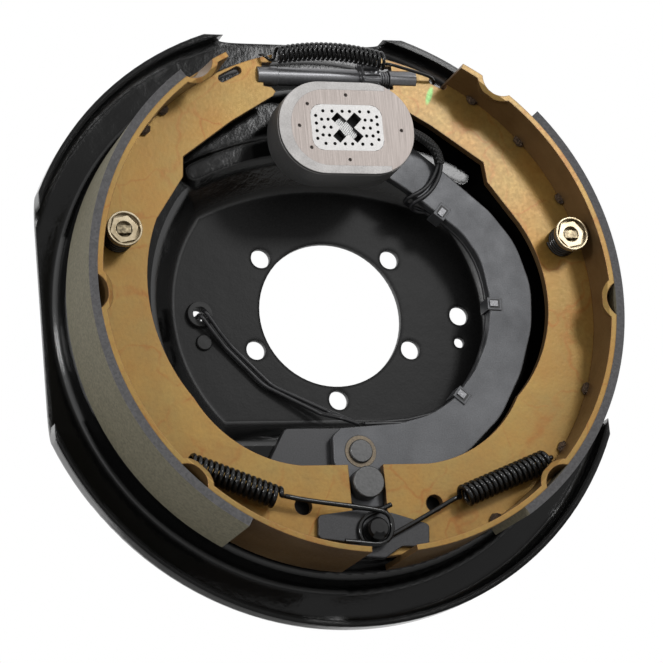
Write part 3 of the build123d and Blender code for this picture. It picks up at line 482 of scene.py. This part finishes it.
magnet_z = 89.8
shell_front = 56.4
rim_end = 23.5
pocket = [point for point in round_box(1.2, magnet_z, 66.6, 43.9, 20.6) if point[0] < 14]
rim_outer = round_box(0, magnet_z, 77.4, 52.5, 25.0)
rim_line = [point for point in rim_outer if point[0] < rim_end]
inner_upper = [point for point in pocket if point[1] > magnet_z]
inner_lower = [point for point in pocket if point[1] <= magnet_z]
rim_shape = [(rim_end, 114.05)] + [point for point in rim_line if point[1] > magnet_z]
rim_shape += [point for point in rim_line if point[1] <= magnet_z]
rim_shape += [(rim_end, 65.55), (rim_end, 67.9)] + inner_lower[::-1] + inner_upper[::-1]
rim_shape += [(rim_end, 111.7)]
case_shape = [rim_outer, round_box(0, magnet_z, 40.4, 25.6, 6.0)]
case = plate_of("magnet_case_shell", case_shape, 37.6, shell_front, cast, 0.5)
case_rim = plate_of("magnet_case_rim", [rim_shape], shell_front, 58.7, cast, 0.28)
for piece in (case, case_rim):
    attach(piece, "magnet")
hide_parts("magnet_case")

# Magnet face: a hard pinkish friction block set in the case, ground flat with upright
# strokes, with six small holes.


def multiply(tree, first, second, amount):
    """A socket of colour multiplied by another, as far as the amount says."""
    node = tree.nodes.new("ShaderNodeMix")
    node.data_type = "RGBA"
    node.blend_type = "MULTIPLY"
    node.inputs["Factor"].default_value = amount
    tree.links.new(first, node.inputs[6])
    tree.links.new(second, node.inputs[7])
    return node.outputs[2]


face_finish, tree, shader = finish("friction_face", (0.34, 0.29, 0.265), 0.42, 0.35)
grain = place_group(tree, mottle, Scale=2200.0, Contrast=0.3)[0]
squeeze = tree.nodes.new("ShaderNodeMapping")
squeeze.inputs["Scale"].default_value = (1800.0, 1800.0, 40.0)
tree.links.new(object_place(tree), squeeze.inputs["Vector"])
strokes = tree.nodes.new("ShaderNodeTexNoise")
strokes.inputs["Scale"].default_value = 1.0
strokes.inputs["Detail"].default_value = 3.0
tree.links.new(squeeze.outputs[0], strokes.inputs["Vector"])
streaks = spread(tree, strokes.outputs["Fac"], (0.0, 1.0), (0.3, 0.7))
brushed = blend_colour(tree, streaks, (0.33, 0.285, 0.26), (0.48, 0.42, 0.39))
dots = blend_colour(tree, grain, (0.75, 0.75, 0.75), (1.0, 1.0, 1.0))
tree.links.new(multiply(tree, brushed, dots, 0.5), shader.inputs["Base Color"])
roughen(shader, grain, 0.36, 0.52)
bump(shader, streaks, 0.00003)

face_start = 23.7
face_front = 58.85
face_outer = round_box(0, magnet_z, 77.0, 52.1, 24.8)
face_line = [point for point in face_outer if point[0] > face_start]
face_shape = [point for point in face_line if point[1] > magnet_z]
face_shape += [(face_start, 113.75), (face_start, 111.5)]
face_shape += [(x + 0.2, z) for x, z in inner_upper + inner_lower]
face_shape += [(face_start, 68.1), (face_start, 65.85)]
face_shape += [point for point in face_line if point[1] <= magnet_z]
face_shapes = [face_shape, round_box(0, magnet_z, 41.4, 26.6, 6.5)]
for x, z in ((0.8, 108.7), (-21.8, 103.1), (-27.4, 90.5), (-21.6, 78), (-0.2, 71.3), (31.3, 88.8)):
    face_shapes.append(ring_of(x, z, 1.1, 16))
block = plate_of("magnet_face_block", face_shapes, 56.5, face_front, face_finish, 0.1)
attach(block, "magnet")
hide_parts("magnet_face")

# Magnet core: a pale steel plate let into the block, with 32 small holes and a cross recess whose
# walls are painted black as painted shade. A black sheet of painted shade closes it behind.
white_plate, tree, shader = finish("pale_plate", (0.6, 0.59, 0.57), 0.35, 0.2)
grain = place_group(tree, mottle, Scale=1500.0, Contrast=0.3)[0]
tinge(shader, grain, (0.44, 0.43, 0.42), (0.60, 0.59, 0.58))
bump(shader, grain, 0.00003)
arm_end = ((2.8, -2.8), (9.6, -2.8), (9.8, -2.5), (9.8, 2.5), (9.6, 2.8))
cross = []
for quarter in range(4):
    cross += turn_outline(arm_end, 45.7 + 90 * quarter, 0, magnet_z)
core_shapes = [round_box(0, magnet_z, 41.2, 26.4, 6.4, 3), cross]
for x, z in (
    (2.1, 9.4), (8.0, 9.4), (13.2, 9.4), (17.6, 2.2), (17.6, 6.6),
    (14.4, 4.5), (10.7, 4.6), (13.3, 0), (9.4, 0),
):
    for a in (-1, 1):
        for b in (-1, 1) if z else (1,):
            core_shapes.append(ring_of(a * x, magnet_z + b * z, 1.0, 14))
core = plate_of("magnet_core_pole", core_shapes, 55.2, face_front, white_plate, 0.08)
# The black rubber is the core's second material: painted shade on the walls of its holes and cross
# recess
core.data.materials.append(rubber_and_shade)
for shaded_wall in core.data.polygons:
    off_x, off_z = abs(shaded_wall.center.x) * 1000, abs(shaded_wall.center.z * 1000 - magnet_z)
    if abs(shaded_wall.normal.y) < 0.5 and off_x < 19.8 and off_z < 12.4:
        shaded_wall.material_index = 1
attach(core, "magnet")
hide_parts("magnet_core_plate")
# Shade well: a black sheet behind the core, painted shade seen through its openings
shade_well_shapes = [round_box(0, magnet_z, 41.0, 26.2, 6.3), ring_of(0, magnet_z, 3.6)]
shade_well = plate_of("magnet_core_shade_well", shade_well_shapes, 51.8, 52.6, rubber_and_shade)
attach(shade_well, "magnet")

# Magnet stud and clip: a turned stud through the arm, necked at its end, with a ribbed steel
# clip across it that holds the magnet on.
clip_steel, tree, shader = finish("clip_steel", (0.42, 0.42, 0.42), 0.3, 0.9)
ribs = tree.nodes.new("ShaderNodeTexWave")
ribs.inputs["Scale"].default_value = 300.0
skew = tree.nodes.new("ShaderNodeMapping")
skew.inputs["Rotation"].default_value = (0, math.radians(-40), 0)
tree.links.new(object_place(tree), skew.inputs["Vector"])
tree.links.new(skew.outputs[0], ribs.inputs["Vector"])
tinge(shader, ribs.outputs["Fac"], (0.22, 0.22, 0.22), (0.5, 0.5, 0.49))
bump(shader, ribs.outputs["Fac"], 0.0002, 0.7)
neck_ring, foot_ring = ring_of(0, magnet_z, 3.1, 32), ring_of(0, magnet_z, 5.7, 40)
stud = plate_of("magnet_stud_neck", [neck_ring], 42.0, 54.0, bright_steel, 0.1)
stud_foot = plate_of("magnet_stud_foot", [foot_ring], 24.2, 42.6, bright_steel, 0.15)
clip_line = turn_outline(round_box(0, 0, 13.4, 6.0, 1.5, 5), -50, 0, magnet_z)
clip = plate_of("magnet_clip_strap", [clip_line], 54.3, 56.6, clip_steel, 0.3)
for piece in (stud, stud_foot, clip):
    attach(piece, "arm")
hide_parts("magnet_stud")
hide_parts("magnet_clip")

# Shoes: the table and the web are steel under an amber varnish that ran and pooled while it
# dried, with copper-brown edges. The web is welded to the table.
varnish, tree, shader = finish("amber_varnish", (0.3, 0.18, 0.07), 0.36, 0.4)
shader.inputs["Specular IOR Level"].default_value = 0.3
shader.inputs["Coat Roughness"].default_value = 0.18
shader.inputs["Coat Weight"].default_value = 0.12
runs = place_group(tree, mottle, Scale=14.0, Contrast=0.2)[0]
pools = place_group(tree, mottle, Scale=42.0, Contrast=0.16)[0]
specks = place_group(tree, mottle, Scale=520.0, Contrast=0.28)[0]
rim = place_group(tree, edge, Radius=0.0008, Sharpness=4.0)
broad = blend_colour(tree, runs, (0.27, 0.190, 0.060), (0.42, 0.250, 0.058))

# Veins: orange lines along the edges of swayed cells, fainter away from the pools
place = object_place(tree)
sway = tree.nodes.new("ShaderNodeTexNoise")
sway.inputs["Scale"].default_value = 26.0
sway.inputs["Detail"].default_value = 3.0
tree.links.new(place, sway.inputs["Vector"])
swayed = tree.nodes.new("ShaderNodeVectorMath")
swayed.operation = "MULTIPLY_ADD"
tree.links.new(sway.outputs["Color"], swayed.inputs[0])
swayed.inputs[1].default_value = (0.06, 0.0, 0.09)
tree.links.new(place, swayed.inputs[2])
cells = tree.nodes.new("ShaderNodeTexVoronoi")
cells.feature = "DISTANCE_TO_EDGE"
cells.inputs["Scale"].default_value = 24.0
tree.links.new(swayed.outputs[0], cells.inputs["Vector"])
vein = spread(tree, cells.outputs["Distance"], (0.0, 1.0), (0.035, 0.004))
faint = maths(tree, "MULTIPLY", maths(tree, "MULTIPLY", vein, pools), 0.7)
stained = blend_colour(tree, faint, broad, (0.30, 0.085, 0.012))
pooled = blend_colour(tree, spread(tree, pools, (0.0, 0.5)), stained, (0.34, 0.15, 0.026))
dust = blend_colour(tree, specks, (0.62, 0.60, 0.56), (1.0, 1.0, 1.0))
speckled = multiply(tree, pooled, dust, 0.7)
# Walls: faces that stand upright to the webs, mostly the tables, take a darker copper brown,
# partly the varnish's own tone and partly painted shade
flatness = maths(tree, "ABSOLUTE", normal_depth(tree))
wall_shade_mask = spread(tree, flatness, (0.0, 1.0), (0.7, 0.3))
coppery_wall_shade = blend_colour(tree, runs, (0.10, 0.050, 0.016), (0.24, 0.15, 0.070))
wall_shaded = blend_colour(tree, wall_shade_mask, speckled, coppery_wall_shade)

# Dab: a small oval of green inspection paint at the top of the primary web
dab_place = tree.nodes.new("ShaderNodeMapping")
dab_place.vector_type = "TEXTURE"
dab_place.inputs["Location"].default_value = (0.0592, 0.0, 0.1186)
dab_place.inputs["Rotation"].default_value = (0, math.radians(22), 0)
dab_place.inputs["Scale"].default_value = (0.0017, 1.0, 0.0056)
tree.links.new(place, dab_place.inputs["Vector"])
dab_reach = tree.nodes.new("ShaderNodeVectorMath")
dab_reach.operation = "LENGTH"
tree.links.new(dab_place.outputs[0], dab_reach.inputs[0])
dab = spread(tree, dab_reach.outputs["Value"], (0.0, 0.75), (1.2, 0.7))
dabbed = blend_colour(tree, dab, wall_shaded, (0.14, 0.42, 0.12))
tinge(shader, rim["Mask"], dabbed, (0.36, 0.17, 0.07))
roughen(shader, specks, 0.28, 0.46)
bump(shader, specks, 0.00006, 0.5, rim["Normal"])
dress(["primary_table", "primary_web", "secondary_table", "secondary_web"], varnish)

# Linings: moulded friction material bonded to the table, olive grey on its ground face and
# bluer on its cut sides, full of fine pale and dark chips.
lining_mix, tree, shader = finish("friction_lining", (0.15, 0.14, 0.11), 0.75)
chips = tree.nodes.new("ShaderNodeTexVoronoi")
chips.inputs["Scale"].default_value = 900.0
tree.links.new(object_place(tree), chips.inputs["Vector"])
shade = tree.nodes.new("ShaderNodeSeparateColor")
tree.links.new(chips.outputs["Color"], shade.inputs[0])
sideways = maths(tree, "ABSOLUTE", normal_depth(tree))
broad = blend_colour(tree, sideways, (0.235, 0.215, 0.15), (0.13, 0.127, 0.13))
dark = blend_colour(tree, shade.outputs[0], (0.7, 0.7, 0.7), (1.2, 1.2, 1.2))
tree.links.new(multiply(tree, broad, dark, 0.8), shader.inputs["Base Color"])
bump(shader, shade.outputs[0], 0.00012, 0.6)
dress(["primary_lining", "secondary_lining"], lining_mix)

# Return springs: wound steel wire painted gloss black, each with a hook in its web and a
# long end that loops round the anchor post. The post has the same paint.


def wound(name, path, radius, material):
    """A wire of round section along points in millimetres, as a mesh."""
    line = bpy.data.curves.new(name, "CURVE")
    line.dimensions = "3D"
    line.bevel_depth = radius / 1000
    line.bevel_resolution = 3
    line.use_fill_caps = True
    spline = line.splines.new("NURBS")
    spline.points.add(len(path) - 1)
    for point, place in zip(spline.points, path):
        point.co = (place[0] / 1000, place[1] / 1000, place[2] / 1000, 1)
    spline.order_u = 4
    spline.use_endpoint_u = True
    spline.resolution_u = 3
    line.materials.append(material)
    piece = bpy.data.objects.new(name, line)
    scene.collection.objects.link(piece)
    pick([piece])
    bpy.ops.object.convert(target="MESH")
    bpy.ops.object.shade_smooth()
    return piece


def turns(start, end, radius, count, last_radius=None, steps=12):
    """Points of a helix between two places, in millimetres."""
    axis = (end - start).normalized()
    side = axis.cross(Vector((0, 0, 1))).normalized()
    other = axis.cross(side)
    last = radius if last_radius is None else last_radius
    made = []
    for step in range(int(count * steps) + 1):
        share = step / (count * steps)
        angle = 2 * math.pi * step / steps
        reach = radius + (last - radius) * share
        spoke = side * math.cos(angle) + other * math.sin(angle)
        made.append(start.lerp(end, share) + spoke * reach)
    return made


def at(x, z, depth):
    """A place from its x, its height and its depth toward the viewer."""
    return Vector((x, -depth, z))


def spots(*places):
    """Places along a wire."""
    return [at(*place) for place in places]


black_spring, tree, shader = finish("black_spring_paint", (0.008, 0.008, 0.008), 0.16)
shader.inputs["Specular IOR Level"].default_value = 0.4
tint = place_group(tree, mottle, Scale=500.0, Contrast=0.25)[0]
tinge(shader, tint, (0.004, 0.004, 0.004), (0.010, 0.010, 0.010))
roughen(shader, tint, 0.07, 0.16)
bump(shader, tint, 0.00003)
dress(["anchor_post"], black_spring)

left_path = spots(
    (-104.4, -91.9, 33.0), (-104.6, -91.9, 38.0), (-105.6, -91.9, 43.0), (-104.6, -92.3, 44.5),
)
left_path += turns(at(-102.3, -93.2, 44.5), at(-53.7, -112.8, 44.5), 5.5, 17)
left_path += spots(
    (-51.0, -111.6, 44.6), (-46, -112.6, 44.6), (-38, -114.6, 44.6), (2, -119.9, 44.6),
    (8.0, -122.6, 44.6), (8.9, -130.6, 44.6), (6.0, -137.4, 44.6), (-1.0, -139.4, 44.6),
    (-9, -137.6, 44.6), (-18.7, -136.7, 44.6),
)
spring = wound("secondary_return_spring_wire", left_path, 1.35, black_spring)
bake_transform(spring)
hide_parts("secondary_return_spring")

right_path = spots(
    (104.2, -91.9, 33.0), (104.6, -91.9, 38.0), (105.6, -92.4, 42.6), (104.4, -93.2, 44),
)
right_path += turns(at(101.8, -94.5, 44), at(51.2, -113.7, 44), 5.5, 17)
right_path += spots(
    (48.6, -113.4, 43.2), (44, -115.6, 42.4), (38, -119, 42.2), (0, -138.2, 41.1),
    (-6.0, -139.0, 41.1), (-8.9, -133.6, 41.1), (-8.4, -126, 41.1), (-3.0, -121.6, 41.1),
    (4, -119.6, 41.1), (10.3, -116.7, 41.1),
)
spring = wound("primary_return_spring_wire", right_path, 1.35, black_spring)
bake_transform(spring)
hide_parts("primary_return_spring")

# Adjuster spring: a thinner close coil of the same black wire, bowed over the adjuster, with
# a hook in each web.
coil_start, coil_crown, coil_end = spots(
    (-30.5, 138.0, 40.6), (0, 142.4, 47.5), (29.0, 133.2, 48.4),
)
coil_turns, coil_steps = 23, 12
top_path = spots(
    (-38.5, 139.8, 36.5), (-38.5, 139.4, 39.5), (-36.8, 136.4, 41.2), (-33.6, 134.6, 40.6),
)
for step in range(coil_turns * coil_steps + 1):
    share = step / (coil_turns * coil_steps)
    rise, fall = coil_start.lerp(coil_crown, share), coil_crown.lerp(coil_end, share)
    around = 2 * math.pi * step / coil_steps
    spoke = Vector((0.12 * math.sin(around), 4.5 * math.cos(around), 4.5 * math.sin(around)))
    top_path.append(rise.lerp(fall, share) + spoke)
top_path += spots(
    (31.5, 132.4, 47.6), (36, 131.8, 46.6), (48, 130, 43.6),
    (58.5, 128.2, 41), (62.2, 127.4, 38.6), (63.6, 127, 33),
)
spring = wound("adjuster_spring_wire", top_path, 0.92, black_spring)
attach(spring, "secondary_shoe")
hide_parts("adjuster_spring")

# Hold-down springs: short black coils between each web and its cup, which press the shoe
# to the plate.
cup_x, cup_z = 128.2, 32.4
for name, side in (("left", -1), ("right", 1)):
    low, high = spots((cup_x * side, cup_z, 37.3), (cup_x * side, cup_z, 49.0))
    coil = turns(low, high, 7.9, 4.5)
    spring = wound(name + "_hold_down_spring_wire", coil, 1.05, black_spring)
    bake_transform(spring)
    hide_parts(name + "_hold_down_spring")

# Magnet spring: a conical coil between the arm and the magnet, which presses the magnet to
# the drum.
low, high = spots((0, magnet_z, 31.1), (0, magnet_z, 36.2))
spring = wound("magnet_spring_wire", turns(low, high, 14.5, 2.5, 11.5, 20), 0.8, black_spring)
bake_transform(spring)
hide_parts("magnet_spring")

# Hold-down pins and cups: pressed steel with a pale yellow zinc finish that shimmers
# between straw and pink. A cup is a hexagon in a round rim, held by its pin's flat head.
zinc, tree, shader = finish("yellow_zinc", (0.4, 0.34, 0.24), 0.26, 0.75)
tint = place_group(tree, mottle, Scale=110.0, Contrast=0.3)[0]
rim = place_group(tree, edge, Radius=0.0004)
tinge(shader, tint, (0.20, 0.15, 0.075), (0.56, 0.48, 0.35))
roughen(shader, tint, 0.2, 0.32)
bump(shader, tint, 0.00002, 0.5, rim["Normal"])
# The pins' zinc is mottled from near black to bright, partly its own tone and partly painted shade
# for the pins' place deep in the cups
shaded_pin_zinc, tree, shader = finish("shaded_pin_zinc", (0.1, 0.08, 0.045), 0.28, 0.8)
tint = place_group(tree, mottle, Scale=420.0, Contrast=0.16)[0]
tinge(shader, tint, (0.03, 0.022, 0.012), (0.34, 0.28, 0.18))
dress(["left_hold_down_pin", "right_hold_down_pin"], shaded_pin_zinc)
# Cup shade: a dark brown for the floor of each cup and the faces behind its hexagon, painted shade
# inside the cup
cup_shade, tree, shader = finish("cup_shade", (0.03, 0.024, 0.015), 0.4, 0.6)
tint = place_group(tree, mottle, Scale=300.0, Contrast=0.25)[0]
tinge(shader, tint, (0.014, 0.011, 0.007), (0.05, 0.04, 0.025))
cup_floor_front, collar_radius = 50.9, 4.95
for name, side in (("left", -1), ("right", 1)):
    x, z = cup_x * side, cup_z
    corners = [math.radians(60 * k + 12) for k in range(6)]
    hexagon = [(x + 7.9 * math.cos(angle), z + 7.9 * math.sin(angle)) for angle in corners]
    layers = (  # rim, floor, hexagon, collar round the pin, seat of the pin
        ([ring_of(x, z, 9.35, 48), ring_of(x, z, 8.75, 48)], cup_floor_front, 53.7, 0.28),
        ([ring_of(x, z, 9.3, 48), ring_of(x, z, 4.6, 32)], 50.2, 50.8, 0.1),
        ([hexagon, ring_of(x, z, 4.6, 32)], cup_floor_front, 52.2, 0.2),
        ([ring_of(x, z, 4.9, 32), ring_of(x, z, 4.45, 32)], 48.4, 50.4, 0.15),
        ([ring_of(x, z, 4.9, 32), ring_of(x, z, 2.7, 24)], 48.2, 48.9, 0.1),
    )
    made = []
    for outlines, low, high, bevel in layers:
        made.append(plate_of(name + "_cup_layer", outlines, low, high, zinc, bevel))
    pick(made)
    bpy.ops.object.join()
    cup = bpy.context.object
    cup.name = name + "_cup_hexagon"
    cup.data.materials.append(cup_shade)
    # Faces behind the front of the hexagon, out past the collar, take the painted shade
    for face in cup.data.polygons:
        flat_reach = math.hypot(face.center.x * 1000 - x, face.center.z * 1000 - z)
        if face.center.y * 1000 > -cup_floor_front and flat_reach > collar_radius:
            face.material_index = len(cup.data.materials) - 1
    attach(cup, name + "_cup")
    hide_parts(name + "_hold_down_cup")

# Leads: two insulated wires from the grommet to the magnet, fixed along the plate and the
# arm, with a braided sleeve over both where they enter the magnet.
dress(["lead_wires_plate"], insulation)
braid, tree, shader = finish("black_braid", (0.02, 0.02, 0.02), 0.55)
lattice = []
for degrees in (65, -25):
    lean = tree.nodes.new("ShaderNodeMapping")
    lean.inputs["Rotation"].default_value = (0, math.radians(degrees), 0)
    tree.links.new(object_place(tree), lean.inputs["Vector"])
    strands = tree.nodes.new("ShaderNodeTexWave")
    strands.inputs["Scale"].default_value = 190.0
    tree.links.new(lean.outputs[0], strands.inputs["Vector"])
    lattice.append(strands.outputs["Fac"])
knots = maths(tree, "MULTIPLY", *lattice)
tinge(shader, knots, (0.004, 0.004, 0.004), (0.09, 0.09, 0.09))
bump(shader, knots, 0.0006)

sleeve_path = spots(
    (36.5, 96.0, 43.5), (44.8, 94.4, 41.2), (52.6, 91.8, 38.6),
    (58.6, 87.6, 36.4), (61.2, 83.0, 35.2), (61.6, 78.6, 34.4),
)
sleeve = wound("lead_sleeve_braid", sleeve_path, 2.9, braid)
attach(sleeve, "arm")
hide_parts("lead_sleeve")

# Each wire runs from the sleeve over the arm's edge, then along that edge at its own reach
inner_edge = (
    (58.5, 51.5), (72.5, 40), (82.4, 24), (85.3, 0),
    (81, -21), (71.5, -39.5), (57.5, -55.6), (42.6, -64.4),
)
upper_route = spots(
    (61.0, 81.0, 34.6), (60.4, 76.4, 33.4), (57.2, 70.2, 32.4), (52.6, 64.8, 31.8),
    (47.0, 61.6, 31.7), (42.6, 60.2, 31.2), (41.2, 59.2, 27.0), (43.4, 58.6, 22.6),
    (50.0, 56.6, 21.8),
)
lower_route = spots(
    (62.4, 81.0, 34.6), (63.0, 76.2, 33.4), (60.0, 69.0, 32.4), (55.4, 63.0, 31.8),
    (50.0, 59.2, 31.7), (45.8, 57.4, 31.2), (44.4, 56.2, 27.0), (47.2, 55.2, 22.8),
    (53.0, 53.6, 21.9),
)
wires = (
    (upper_route, 1.6, at(6.5, -66.9, 20.0)),
    (lower_route, 4.4, at(6.5, -67.6, 22.8)),
)
pair = []
for number, (route, reach_in, wire_end) in enumerate(wires):
    for x, z in inner_edge:
        outward = Vector((x - 24, 0, z + 4)).normalized()
        route.append(at(x, z, 21.8) + outward * reach_in)
    route.append(wire_end)
    pair.append(wound("lead_wire_arm_%d" % number, route, 1.25, insulation))
for piece in pair:
    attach(piece, "arm")
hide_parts("lead_wires_arm")

# Welds: the web is welded to the table at small spots, which stand proud and are burnt dark.
burnt, tree, shader = finish("burnt_weld", (0.03, 0.022, 0.016), 0.4, 0.5)
tint = place_group(tree, mottle, Scale=900.0, Contrast=0.2)[0]
tinge(shader, tint, (0.012, 0.009, 0.007), (0.16, 0.10, 0.06))
bump(shader, tint, 0.0006)
weld_reach, weld_depth = 0.1432, 0.0372
welds = {
    "secondary_shoe": (132.6, 139.0),
    "primary_shoe": (54.1, 40.0, 24.0, -21.5, -36.6, -60.3),
}
for body, weld_angles in welds.items():
    for number, degrees in enumerate(weld_angles):
        angle = math.radians(degrees)
        x, z = weld_reach * math.cos(angle), weld_reach * math.sin(angle)
        bpy.ops.object.select_all(action="DESELECT")
        bpy.ops.mesh.primitive_uv_sphere_add(segments=16, ring_count=10, radius=0.0026)
        nib = bpy.context.object
        nib.name = body + "_weld_%d" % number
        for vertex in nib.data.vertices:
            point = vertex.co
            swell = math.sin(2600 * point.x + number) * math.cos(2300 * point.z + 2 * number)
            lump = 1 + 0.14 * swell
            vertex.co = Vector((point.x * lump, point.y * 0.7 * lump, point.z * 1.35 * lump))
        lean = Matrix.Rotation(-angle, 4, "Y")
        nib.data.transform(Matrix.Translation((x, -weld_depth, z)) @ lean)
        nib.data.materials.append(burnt)
        bpy.ops.object.shade_smooth()
        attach(nib, body)

# Adjuster thread: the screw shows its ridges between the star wheel and the right socket.
thread_path = turns(at(29.0, 128.3, 33.5), at(36.2, 128.3, 33.5), 4.15, 4.8)
ridges = wound("adjuster_thread", thread_path, 0.6, tube_steel)
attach(ridges, "star_wheel_body")
